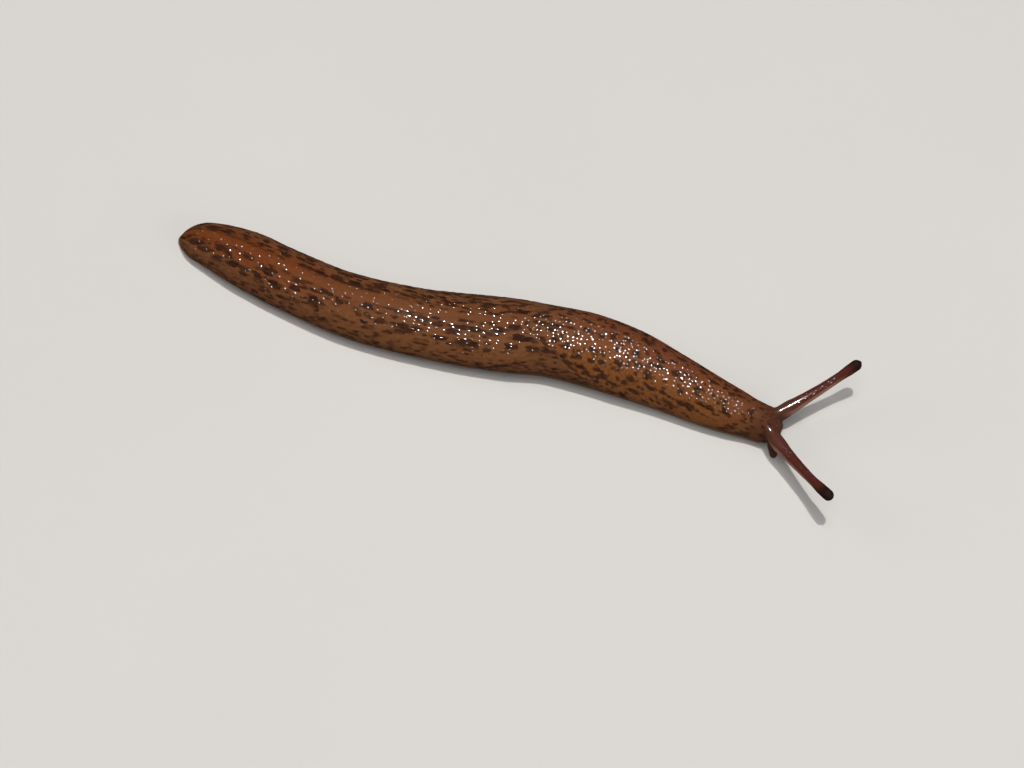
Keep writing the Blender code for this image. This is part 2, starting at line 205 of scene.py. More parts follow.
def pebbles(x, y, seed):
    """Cells round one jittered point a square: distance to the nearest, to the next, and its draw."""
    i, j = np.floor(x), np.floor(y)
    near, far, draw = np.full(x.shape, 9.0), np.full(x.shape, 9.0), np.zeros(x.shape)
    spread = 1 - 2 * CELL_EDGE
    for di in (-1, 0, 1):
        for dj in (-1, 0, 1):
            ci, cj = i + di, j + dj
            to_x = ci + CELL_EDGE + spread * chance(ci, cj, seed) - x
            to_y = cj + CELL_EDGE + spread * chance(ci, cj, seed + 7) - y
            away = np.hypot(to_x, to_y)
            closer = away < near
            far = np.where(closer, near, np.minimum(far, away))
            draw = np.where(closer, chance(ci, cj, seed + 13), draw)
            near = np.where(closer, away, near)
    return near, far, draw


# Places on the animal

def crawl_line():
    """s, x, y and heading of the crawl line and its extension, summed from short steps."""
    s = np.arange(-2, BODY_LENGTH + 12, 0.05)
    heading = np.radians(through(HEADING, s))
    middle = (heading[1:] + heading[:-1]) / 2
    x = np.concatenate([[0], np.cumsum(np.cos(middle) * np.diff(s))])
    y = np.concatenate([[0], np.cumsum(np.sin(middle) * np.diff(s))])
    x += CRAWL_START[0] - np.interp(0, s, x)
    y += CRAWL_START[1] - np.interp(0, s, y)
    return s, x, y, heading


LINE = crawl_line()


def place(s, side, up):
    """The point at s along the crawl line, side to its left and up above the ground."""
    s, side, up = np.broadcast_arrays(s, side, up)
    x, y, heading = (np.interp(s, LINE[0], values) for values in LINE[1:])
    return np.stack([x - side * np.sin(heading), y + side * np.cos(heading), up], -1)


def wall(s, turn, depth=0.0, roundness=None):
    """The body wall at s and turn, depth below the outline.

    It is half an ellipse over the widest level, and the arc of another below it. The keel is a low bump along
    the ridge, and the lower part of the tail's end lies further back. Roundness is the share of the full
    section that is left near the ends.
    """
    if roundness is None:
        roundness = rounded(s, TAIL_ROUND) * rounded(BODY_LENGTH - s, HEAD_ROUND)
    half = through(HALF_WIDTH, s) * roundness - depth * roundness
    ridge = WALL_BASE + (through(RIDGE, s) - WALL_BASE) * roundness
    widest = WALL_BASE + (through(RIDGE, s) * WIDEST_SHARE - WALL_BASE) * roundness
    angle = np.radians(turn)
    lower = (widest - WALL_BASE) / -np.cos(np.radians(WALL_END))
    up = widest + np.where(np.cos(angle) > 0, ridge - depth * roundness - widest, lower) * np.cos(angle)
    up = up + through(KEEL, s) * np.exp(-((turn / KEEL_TURN) ** 2)) * roundness
    lean = TAIL_LEAN * (1 - blend_up(s, 0, TAIL_LEAN_END)) * (1 - up / through(RIDGE, s))
    return place(s - lean, half * np.sin(angle), up)


def arc_of(s, turn):
    """Millimetres round the wall from the ridge, from the mean of the section's half width and height."""
    radius = 0.5 * (through(HALF_WIDTH, s) + through(RIDGE, s) * (1 - WIDEST_SHARE))
    return np.radians(turn) * radius


def mantle_half(behind):
    """The mantle's length from its middle and the power of its rim, where behind is true or in front."""
    length = np.where(behind, MANTLE_MIDDLE - MANTLE_REAR, MANTLE_FRONT - MANTLE_MIDDLE)
    return length, np.where(behind, REAR_POWER, FRONT_POWER)


def mantle_reach(s, turn):
    """0 at the mantle's middle and 1 on its rim."""
    length, power = mantle_half(s < MANTLE_MIDDLE)
    along = np.abs(s - MANTLE_MIDDLE) / length
    across = np.abs(turn) / MANTLE_TURN
    return (along ** power + across ** power) ** (1 / power)


def skin_depth(s, turn):
    """How far the skin lies inside the outline: a small step round the mantle, and more under it."""
    reach = mantle_reach(s, turn)
    covered = 1 - blend_up(reach, 0.9, 0.985)
    return MANTLE_STEP * (1 - blend_up(reach, 1.0, 1.5)) + COVERED_DEPTH * covered


# Meshes

def normals_of(points, faces):
    """The mean normal of the faces round each point: the sum of their diagonals' cross products."""
    across = np.cross(points[faces[:, 2]] - points[faces[:, 0]], points[faces[:, 3]] - points[faces[:, 1]])
    total = np.stack([sum(np.bincount(faces[:, corner], across[:, axis], len(points)) for corner in range(4))
                      for axis in range(3)], -1)
    return unit(total)


def relax(points, faces, weight, rounds):
    """Moves each point towards the mean of its neighbours by its weight, over and over."""
    a = faces.ravel()
    b = np.roll(faces, -1, axis=1).ravel()
    size = len(points)
    count = np.maximum(np.bincount(a, minlength=size) + np.bincount(b, minlength=size), 1)
    for _ in range(rounds):
        total = np.stack([np.bincount(a, points[b, axis], size) + np.bincount(b, points[a, axis], size)
                          for axis in range(3)], -1)
        points = points + weight[:, None] * (total / count[:, None] - points)
    return points


def faces_of(number):
    """The faces between the rows of a grid of point numbers, which closes round each row."""
    right = np.roll(number, -1, axis=1)
    return np.stack([number[:-1], number[1:], right[1:], right[:-1]], -1)


def put(name, data):
    made = bpy.data.objects.new(name, data)
    bpy.context.scene.collection.objects.link(made)
    return made


def piece(name, points, faces, values, material):
    """A mesh that rides on the body, from faces of four corners, or three and one of them again, and the
    points that they use. Values are numbers or vectors for each point, kept as attributes."""
    used, inverse = np.unique(faces, return_inverse=True)
    faces = inverse.reshape(faces.shape)
    kept = faces != np.roll(faces, -1, axis=1)
    corners, sides = faces[kept], kept.sum(axis=1)
    mesh = bpy.data.meshes.new(name)
    mesh.vertices.add(len(used))
    mesh.vertices.foreach_set("co", (points[used] * MM).ravel())
    mesh.loops.add(len(corners))
    mesh.loops.foreach_set("vertex_index", corners)
    mesh.polygons.add(len(faces))
    mesh.polygons.foreach_set("loop_start", np.cumsum(sides) - sides)
    mesh.update(calc_edges=True)
    if mesh.validate():
        print("mended the mesh of", name)
    mesh.shade_smooth()
    for key, value in values.items():
        kind, part = ("FLOAT_VECTOR", "vector") if value.ndim == 2 else ("FLOAT", "value")
        mesh.attributes.new(key, kind, "POINT").data.foreach_set(part, value[used].ravel())
    mesh.materials.append(material)
    made = put(name, mesh)
    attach(made, "root")
    return made


# The skin

ARC_TAIL = TAIL_ROUND * np.pi / 2
ARC_HEAD = HEAD_ROUND * np.pi / 2
STRAIGHT = BODY_LENGTH - TAIL_ROUND - HEAD_ROUND
UNROLLED = ARC_TAIL + STRAIGHT + ARC_HEAD
NECK_RUN = 71.2  # where the neck starts on the straight run
RING_COUNTS = (23, 345, 42, 37)  # over the tail's end, the back, the neck and the head's dome
WALL_COLUMNS = 57  # from the ridge to the wall's end


def rolled(run):
    """s, the share of the full section and the turn over the head's dome, at run: the way along the back
    with its round ends, which are circles, laid flat."""
    tail = np.clip(run / TAIL_ROUND, 0, np.pi / 2)
    head = np.clip((UNROLLED - run) / HEAD_ROUND, 0, np.pi / 2)
    s = TAIL_ROUND * (1 - np.cos(tail)) + np.clip(run - ARC_TAIL, 0, STRAIGHT) + HEAD_ROUND * np.cos(head)
    return s, np.sin(tail) * np.sin(head), head


def ring_runs():
    """Where the skin's rings lie, closer together over the tail's end, the neck and the head."""
    over_tail, on_back, on_neck, over_head = RING_COUNTS
    tail = np.linspace(0, ARC_TAIL, over_tail)
    back = ARC_TAIL + np.linspace(0, NECK_RUN, on_back)[1:]
    neck = ARC_TAIL + np.linspace(NECK_RUN, STRAIGHT, on_neck)[1:]
    head = ARC_TAIL + STRAIGHT + np.linspace(0, ARC_HEAD, over_head)[1:]
    return np.concatenate([tail, back, neck, head])


def columns():
    """Turn, share of the half width and height of each column, down the left side and up the right.

    Those on the wall have only a turn.
    """
    on_wall = np.zeros(WALL_COLUMNS)
    on_fringe, fringe_up = np.array(FRINGE).T
    middle, width, depth = SOLE_GROOVE
    sole = np.linspace(on_fringe[-1], 0, SOLE_COLUMNS + 1)[1:]
    share = np.concatenate([on_wall, on_fringe, sole])
    up = np.concatenate([on_wall, fringe_up, depth * hump(sole, middle, width)])
    beyond = np.arange(1, len(share) - WALL_COLUMNS + 1)
    turn = np.concatenate([np.linspace(0, WALL_END, WALL_COLUMNS), WALL_END + FOOT_COLUMN * beyond])
    lowest = len(turn) - 1
    round_it = np.concatenate([np.arange(lowest + 1), np.arange(1 - lowest, 0)])
    column, way = np.abs(round_it), np.where(round_it < 0, -1.0, 1.0)
    return turn[column] * way, share[column] * way, up[column]


def find_openings(run, turn):
    """The blocks of the grid that tentacles grow from: kind, side, and first and last row and column."""
    holes = []
    for kind, half in ((HORNS, HORN_HOLE), (FEELERS, FEELER_HOLE)):
        for side, horn in kind.items():
            middle = UNROLLED - np.radians(horn["at"][0]) * HEAD_ROUND
            reach = np.radians(half[0]) * HEAD_ROUND
            first, last = np.searchsorted(run, [middle - reach, middle + reach])
            low, high = (np.argmin(np.abs(turn - (horn["at"][1] + way * half[1]))) for way in (-1, 1))
            holes.append((kind, side, first, last, low, high))
    return holes


def draw_round(holes, run, turn):
    """The grid's places with the blocks of the openings drawn from squares to circles, and which are wall."""
    runs, turns = np.meshgrid(run, turn, indexing="ij")
    on_wall = np.abs(turns) <= WALL_END
    for _, _, first, last, low, high in holes:
        half_run, half_turn = (run[last] - run[first]) / 2, (turn[high] - turn[low]) / 2
        along = (runs - (run[first] + run[last]) / 2) / half_run
        across = (turns - (turn[low] + turn[high]) / 2) / half_turn
        size = np.maximum(np.maximum(np.abs(along), np.abs(across)), 1e-6)
        weight = (1 - blend_up(size, 1.0, 1.8)) * on_wall
        round_along = along * np.sqrt(1 - (across / size) ** 2 / 2)
        round_across = across * np.sqrt(1 - (along / size) ** 2 / 2)
        runs = runs + weight * (round_along - along) * half_run
        turns = turns + weight * (round_across - across) * half_turn
    return runs, turns, on_wall


def near_openings(holes, shape):
    """1 at the blocks of the openings, falling to 0 at about twice their size."""
    near = np.zeros(shape)
    row, column = np.indices(shape)
    for _, _, first, last, low, high in holes:
        along = (row - (first + last) / 2) / ((last - first) / 2)
        across = (column - (low + high) / 2) / ((high - low) / 2)
        near = np.maximum(near, 1 - blend_up(np.maximum(np.abs(along), np.abs(across)), 1.0, 2.1))
    return near


def horn_axis(root, tip, sag, along):
    """Points on a tentacle's axis and the three directions there: a straight line less a parabola of sag."""
    length = np.linalg.norm(tip - root)
    t = (along / length)[:, None]
    points = root + (tip - root) * t - UP * (sag * 4 * t * (1 - t))
    ahead = unit(tip - root - UP * (sag * 4 * (1 - 2 * t)))
    side = unit(np.cross(UP, ahead))
    return points, ahead, side, np.cross(ahead, side)


def grow(border, normals, root, tip, sag, radius, end, start, cap, steps, gap):
    """A tentacle out of an opening in the skin: rings of points from its border to the last before its tip.

    The first rings leave the border along the skin and come to a circle round the axis at start, each point
    on a cubic with those two slopes. The others are circles, and over the cap the radius falls as a quarter
    circle.
    """
    capped = end - cap * (1 - np.cos(np.linspace(np.pi / 2, 0, CAP_RINGS)[:-1]))
    shaft = np.linspace(start, end - cap, max(2, int((end - cap - start) / gap)))[:-1]
    along = np.concatenate([shaft, capped])
    centre, ahead, side, over = horn_axis(root, tip, sag, along)
    size = through(radius, along) * rounded(end - along, cap)
    away = border - np.mean(border, axis=0)
    angle = np.unwrap(np.arctan2(away @ over[0], away @ side[0]))
    count = len(border)
    way = np.sign(angle[-1] - angle[0])
    even = way * 2 * np.pi * np.arange(count) / count
    angle = (even + np.mean(angle - even))[:, None]
    circle = np.cos(angle) * side[:, None] + np.sin(angle) * over[:, None]
    rings = centre[:, None] + size[:, None, None] * circle
    inward = np.mean(border, axis=0) - border
    inward = unit(inward - np.sum(inward * normals, -1, keepdims=True) * normals)
    reach = np.linalg.norm(rings[0] - border, axis=1)[:, None]
    t = np.linspace(0, 1, steps + 1)[1:-1, None, None]
    leave, meet = FLARE_SLOPES
    flare = (border * (1 + 2 * t) * (1 - t) ** 2 + rings[0] * t * t * (3 - 2 * t)
             + inward * (leave * reach) * t * (1 - t) ** 2 - ahead[0] * (meet * reach) * t * t * (1 - t))
    distance = np.concatenate([start * t[:, 0, 0], along])
    tip_at = horn_axis(root, tip, sag, np.array([end]))[0][0]
    return np.concatenate([flare, rings]), distance, tip_at


def grown(kind, side, border, normals):
    """The rings of one tentacle or feeler, their distances from its root, its tip and its length."""
    horn = kind[side]
    root = place(*horn["root"])
    if kind is HORNS:
        tip = place(*horn["bulb"])
        length = np.linalg.norm(tip - root) + BULB_REACH
        shape = horn["sag"], HORN_RADIUS, length, *HORN_GROWTH
    else:
        tip = place(*horn["end"])
        length = np.linalg.norm(tip - root)
        shape = 0.0, FEELER_RADIUS, length, *FEELER_GROWTH
    return *grow(border, normals, root, tip, *shape), length


def tentacle(kind, side, loop, points, normals, values, first):
    """The points, faces and values of a tentacle or feeler out of a loop of the skin's points, numbered from
    first on."""
    rings, distance, tip_at, length = grown(kind, side, points[loop], normals[loop])
    ring_count, size = rings.shape[:2]
    count = ring_count * size + 1
    number = np.concatenate([loop[None], first + np.arange(count - 1).reshape(ring_count, size)])
    right = np.roll(number[-1], -1)
    fan = np.stack([number[-1], np.full(size, first + count - 1), right, right], -1)
    way_out = np.repeat(np.append(distance, length), [size] * ring_count + [1])
    fade = np.clip(distance / ROOT_FADE, 0, 1)[:, None]
    part = dict.fromkeys(values, np.zeros(count))
    part["horn" if kind is HORNS else "feeler"] = way_out
    part["round_horn"] = np.append(np.tile(np.arange(size) * 2 * np.pi / size, ring_count), 0.0)
    part["soft"] = 1 - blend_up(way_out, *(HORN_SOFT if kind is HORNS else FEELER_SOFT))
    for key in ("s", "turn"):
        at = values[key][loop]
        part[key] = np.append((at * (1 - fade) + np.mean(at) * fade).ravel(), np.mean(at))
    return (np.concatenate([rings.reshape(-1, 3), tip_at[None]]),
            np.concatenate([faces_of(number).reshape(-1, 4), fan]), part)


def skin_shape():
    """The points, faces and values of the whole skin: rings round the body from its tail to its head, welded
    along the middle of each end, with the tentacles grown out of openings in the head."""
    run = ring_runs()
    turn, share, up = columns()
    holes = find_openings(run, turn)
    runs, turns, on_wall = draw_round(holes, run, turn)

    s, roundness, over_head = rolled(runs)
    foot = np.broadcast_to(np.clip((np.abs(turn) - WALL_END) / FOOT_BLEND, 0, 1), s.shape)
    at_edge, in_foot = FOOT_TAIL_SHIFT
    at_dome, over_dome = FOOT_HEAD_SHIFT
    shift = (at_edge + (in_foot - at_edge) * foot) * (1 - blend_up(s, 0, TAIL_LEAN_END))
    shift = shift + foot * (at_dome * blend_up(s, *FOOT_HEAD_BLEND) + over_dome * np.cos(over_head))
    at_wall = wall(s, turns, skin_depth(s, turns), roundness)
    at_foot = place(s + shift, share * through(HALF_WIDTH, s) * roundness, np.broadcast_to(up, s.shape))
    points = np.where(on_wall[..., None], at_wall, at_foot).reshape(-1, 3)

    # numbers of the points, with both halves of each end row sharing theirs
    number = np.arange(s.size).reshape(s.shape)
    lowest = len(turn) // 2
    for row in (0, -1):
        number[row, lowest + 1:] = number[row, lowest - 1:0:-1]
    faces = faces_of(number)
    kept = np.ones(faces.shape[:2], bool)
    for _, _, first, last, low, high in holes:
        kept[first:last, low:high] = False
    faces = faces[kept]

    none = np.zeros(s.size)
    values = {"s": s.ravel(), "turn": turns.ravel(), "horn": none, "round_horn": none, "feeler": none,
              "foot": foot.ravel(), "soft": near_openings(holes, s.shape).ravel()}
    parts = [(points, faces, values)]
    normals = normals_of(points, faces)
    for kind, side, first, last, low, high in holes:
        loop = np.concatenate([number[first, low:high], number[first:last, high], number[last, high:low:-1],
                               number[last:first:-1, low]])
        made = sum(len(part[0]) for part in parts)
        parts.append(tentacle(kind, side, loop, points, normals, values, made))
    all_points, all_faces, all_values = zip(*parts)
    values = {key: np.concatenate([part[key] for part in all_values]) for key in values}
    return np.concatenate(all_points), np.concatenate(all_faces), values


def lips(points, faces, loose):
    """The lips: each pushes the loose skin out along its normals to its own ball, and is eased in."""
    for at, side, up, radius in LIPS:
        away = points - place(at, side, up)
        normals = normals_of(points, faces)
        along, square = np.sum(away * normals, -1), np.sum(away ** 2, -1)
        under = along ** 2 - square + radius ** 2
        inside = (under > 0) & (along > 0) & (square < (1.15 * radius) ** 2)
        out = np.where(inside, -along + np.sqrt(np.maximum(under, 0)), -1.0)
        eased = 0.5 * (out + np.sqrt(out ** 2 + 0.01)) - 0.5 * (np.sqrt(1.01) - 1)
        points = points + normals * (eased * loose)[:, None]
    return points


def skin_relief(values):
    """Height of the skin's detail, and how deep the grooves between its tubercles are.

    Tubercles are long cells in rows that run back and down, low along the keel and smaller towards the foot.
    The head has grains, the neck folds, the foot's fringe grooves, and the tentacles rings and grains.
    """
    s, turn, horn, foot = (values[key] for key in ("s", "turn", "horn", "foot"))
    arc = arc_of(s, turn)
    flesh = 1 - foot

    lean = s + 0.45 * np.abs(arc) + 0.3 * swell(s / 3, arc / 2, 3)
    lean_arc = arc + 0.12 * swell(s / 1.1, arc / 0.9, 5)
    near, far, draw = pebbles(lean / TUBERCLE[0], lean_arc / TUBERCLE[1], 11)
    plateau = blend_up(far - near, 0.0, 0.5)
    crown = 1 - near ** 2
    size = 1 - 0.35 * blend_up(np.abs(turn), 70, 120) - 0.3 * blend_up(s, 74, 79)
    body = flesh * blend_up(s, 0.5, 9) * (1 - blend_up(s, 76.0, 78.2))
    strength = (0.2 + 0.8 * blend_up(np.abs(turn), 5, 24)) * body * size
    height = strength * (0.032 * plateau * (0.6 + 0.8 * draw) + 0.014 * crown)

    fine_near, fine_far, _ = pebbles(s / HEAD_GRAIN[0] + 9, arc / HEAD_GRAIN[1], 23)
    head = blend_up(s, 76.0, 78.0) * flesh
    height = height + 0.012 * head * blend_up(fine_far - fine_near, 0, 0.5) * (1 - blend_up(s, 78.6, 79.3))
    height = height + 0.05 * swell(s / 4.5, turn / 35, 31) * flesh

    neck = hump(s, 77.6, 1.0) * (0.5 + 0.5 * swell(turn / 22, s / 0.9, 37))
    height = height - 0.010 * neck * np.cos(2 * np.pi * (s + 0.01 * np.abs(turn)) / NECK_FOLD) * flesh
    fringe = foot * hump(np.abs(turn), WALL_END + 22, 16)
    height = height + 0.02 * fringe * np.cos(2 * np.pi * (s + 0.3 * swell(s / 1.3, 0 * s, 41)) / FRINGE_FOLD)

    round_horn = values["round_horn"] * 2
    rings = np.cos(2 * np.pi * (horn + 0.07 * swell(horn / 0.4, round_horn, 43)) / HORN_RING)
    grain, _, _ = pebbles(horn / 0.3, values["round_horn"] * 2.2, 47)
    rough_horn = blend_up(horn, 3.0, 5.0) * (1 - blend_up(horn, 10.2, 11.0))
    height = height * (1 - blend_up(horn, 1.2, 3)) + rough_horn * (0.008 * rings + 0.018 * (1 - grain))
    return height, (1 - plateau) * strength


def mouth_shape(points, s, horn):
    """How deep the mouth's slit and the line down the lower lip are: 1 in their middle."""
    mouth = place(*MOUTH_AT)
    across = np.abs(points[:, 1] - mouth[1])
    slit = (hump(points[:, 2], mouth[2] + 0.12 * np.cos(np.clip(across, 0, 0.8) * 3), 0.1)
            * (1 - blend_up(across, 0.5, 0.85)) * (s > 79) * (horn == 0))
    lip_line = hump(points[:, 1], mouth[1], 0.1) * (points[:, 2] < mouth[2]) * (s > 79.3)
    return slit, lip_line * (points[:, 2] > 1.0)


def skin(material):
    points, faces, values = skin_shape()
    s, horn = values["s"], values["horn"]
    points = relax(points, faces, 0.6 * values["soft"], 30)
    points = relax(points, faces, 0.5 * (1 - blend_up(s, 0.2, 1.2)), 10)
    face = (s > 77) * (horn == 0) * (values["feeler"] < 0.3)
    points = lips(points, faces, face)
    points = relax(points, faces, 0.5 * face * blend_up(s, 78.4, 79.0) * (1 - values["foot"]), 8)
    height, groove = skin_relief(values)
    normals = normals_of(points, faces)
    at, swelling, width = ROOT_BULGE
    height = height + swelling * hump(np.linalg.norm(points - place(*at), axis=1), 0, width)
    slit, lip_line = mouth_shape(points, s, horn)
    points = points + normals * (height - 0.2 * slit - 0.08 * lip_line)[:, None]
    points[:, 2] = np.maximum(points[:, 2], 0.0)
    # under is painted light: how far each point faces the side of the tentacles that is painted paler, as if
    # light shone through them
    shown = {key: values[key] for key in ("turn", "foot", "feeler")}
    shown |= {"place": np.stack([s, arc_of(s, values["turn"]), horn], -1), "groove": groove, "mouth": slit,
              "under": blend_up(normals @ GLOW_PAINT_SIDE, 0.05, 0.5)}
    made = piece("skin", points, faces, shown, material)
    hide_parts(*[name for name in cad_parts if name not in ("mantle", "left_eye", "right_eye")])


# The mantle

def mantle_relief(s, turn):
    """Height of the mantle's grains, and the groove between them: low round domes, most nearly flat."""
    arc = arc_of(s, turn)
    x = s + 0.3 * swell(s / 3.1, arc / 3.1, 61)
    y = arc + 0.3 * swell(s / 3.1 + 20, arc / 3.1, 62)
    at = (0.8 * x + 0.6 * y) / MANTLE_GRAIN[0], (-0.6 * x + 0.8 * y) / MANTLE_GRAIN[1]
    near, far, draw = pebbles(*at, 71)
    dome = np.clip(1 - (near / 0.6) ** 2, 0, 1)
    plateau = blend_up(far - near, 0.02, 0.4)
    height = dome * (0.008 + 0.012 * draw) + 0.006 * plateau
    height = height + 0.05 * swell(s / 4.5, turn / 35, 31)
    return height, 1 - plateau


def mantle(material):
    """The shield over the front of the back: a square grid drawn out to its rim, with a round edge that dips
    under the skin, and an underside sewn to the same border."""
    across, along = np.meshgrid(*(np.linspace(-1, 1, points) for points in MANTLE_POINTS))
    disc_x = along * np.sqrt(1 - across ** 2 / 2)
    disc_y = across * np.sqrt(1 - along ** 2 / 2)
    reach = np.hypot(disc_x, disc_y)
    angle = np.arctan2(disc_y, disc_x)
    length, power = mantle_half(disc_x < 0)
    rim_at = (np.abs(np.cos(angle)) ** power + np.abs(np.sin(angle)) ** power) ** (-1 / power)
    s = MANTLE_MIDDLE + length * rim_at * reach * np.cos(angle)
    turn = MANTLE_TURN * rim_at * reach * np.sin(angle)

    edge = np.clip((reach - (1 - MANTLE_EDGE)) / MANTLE_EDGE, 0, 1)
    depth = MANTLE_DROP * (1 - np.sqrt(1 - edge ** 2))
    number = np.arange(reach.size).reshape(reach.shape)
    top_faces = faces_of(number)[:, :-1].reshape(-1, 4)
    points = wall(s, turn, depth).reshape(-1, 3)
    height, groove = mantle_relief(s, turn)
    fade = 1 - blend_up(reach, 0.93, 1.0)
    arc = arc_of(s, turn)
    pore_arc = arc - arc_of(*np.array(PORE_AT))
    pore = np.hypot((s - PORE_AT[0]) / PORE_SIZE[0], pore_arc / PORE_SIZE[1])
    pore_depth = PORE_SIZE[2] * (1 - blend_up(pore, 0.35, 1.0))
    pore_rim = 0.05 * hump(pore, 1.25, 0.3)
    height = height * fade * blend_up(pore, 0.8, 1.5) - pore_depth + pore_rim
    points = points + normals_of(points, top_faces) * height.reshape(-1, 1)

    border = np.zeros(reach.shape, bool)
    border[[0, -1]] = border[:, [0, -1]] = True
    thickness = MANTLE_DROP + MANTLE_HOLLOW * (1 - blend_up(reach, 0.9, 1.0)) + pore_depth
    under = wall(s, turn, thickness).reshape(-1, 3)
    low = np.where(border, number, number + reach.size)
    low_faces = faces_of(low)[:, :-1, [0, 3, 2, 1]].reshape(-1, 4)
    values = {"turn": turn, "groove": groove * fade, "rim": blend_up(reach, 0.9, 1.0),
              "pore": 1 - blend_up(pore, 0.5, 1.3)}
    values = {key: np.tile(value.ravel(), 2) for key, value in values.items()}
    values["place"] = np.tile(np.stack([s, arc, np.zeros_like(s)], -1).reshape(-1, 3), (2, 1))
    made = piece("mantle_shield", np.concatenate([points, under]), np.concatenate([top_faces, low_faces]),
                 values, material)
    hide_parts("mantle")


# The eyes

def eye(side, material):
    """A bead sunk in the end of a tentacle: a ball of rings round the way that it faces, which is along the
    tentacle and a little up."""
    horn = HORNS[side]
    root, bulb = place(*horn["root"]), place(*horn["bulb"])
    length = np.linalg.norm(bulb - root) + BULB_REACH
    at, ahead, _, over = horn_axis(root, bulb, horn["sag"], np.array([length - EYE_SUNK]))
    facing = unit(ahead[0] + 0.25 * over[0])
    left = unit(np.cross(UP, facing))
    up = np.cross(facing, left)
    rows, count = EYE_POINTS
    down, round_it = np.meshgrid(np.linspace(0, np.pi, rows),
                                 np.linspace(0, 2 * np.pi, count, endpoint=False), indexing="ij")
    ball = (np.cos(down)[..., None] * facing + np.sin(down)[..., None]
            * (np.cos(round_it)[..., None] * left + np.sin(round_it)[..., None] * up))
    points = (at[0] + EYE_RADIUS * ball).reshape(-1, 3)
    number = np.arange(rows * count).reshape(rows, count)
    number[0], number[-1] = number[0, 0], number[-1, 0]
    made = piece(f"{side}_eye_bead", points, faces_of(number).reshape(-1, 4), {}, material)
    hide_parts(f"{side}_eye")


# Materials

class Sum:
    """A socket in a sum: +, - and * on it, and a number before + or -, add Math nodes."""

    def __init__(self, finish, socket):
        self.finish, self.socket = finish, socket

    def math(self, operation, *values):
        return self.finish.node("Math", {"operation": operation}, dict(enumerate(values)))

    def __add__(self, other):
        return self.math("ADD", self, other)

    def __sub__(self, other):
        return self.math("SUBTRACT", self, other)

    def __rsub__(self, other):
        return self.math("SUBTRACT", other, self)

    def __mul__(self, other):
        return self.math("MULTIPLY", self, other)

    def above(self, other):
        return self.math("MAXIMUM", self, other)

    def size(self):
        return self.math("ABSOLUTE", self)

    def step(self, low, high):
        """blend_up as a node."""
        return self.finish.node("MapRange", {"interpolation_type": "SMOOTHSTEP"},
                                {"Value": self, "From Min": low, "From Max": high})

    __radd__ = __add__


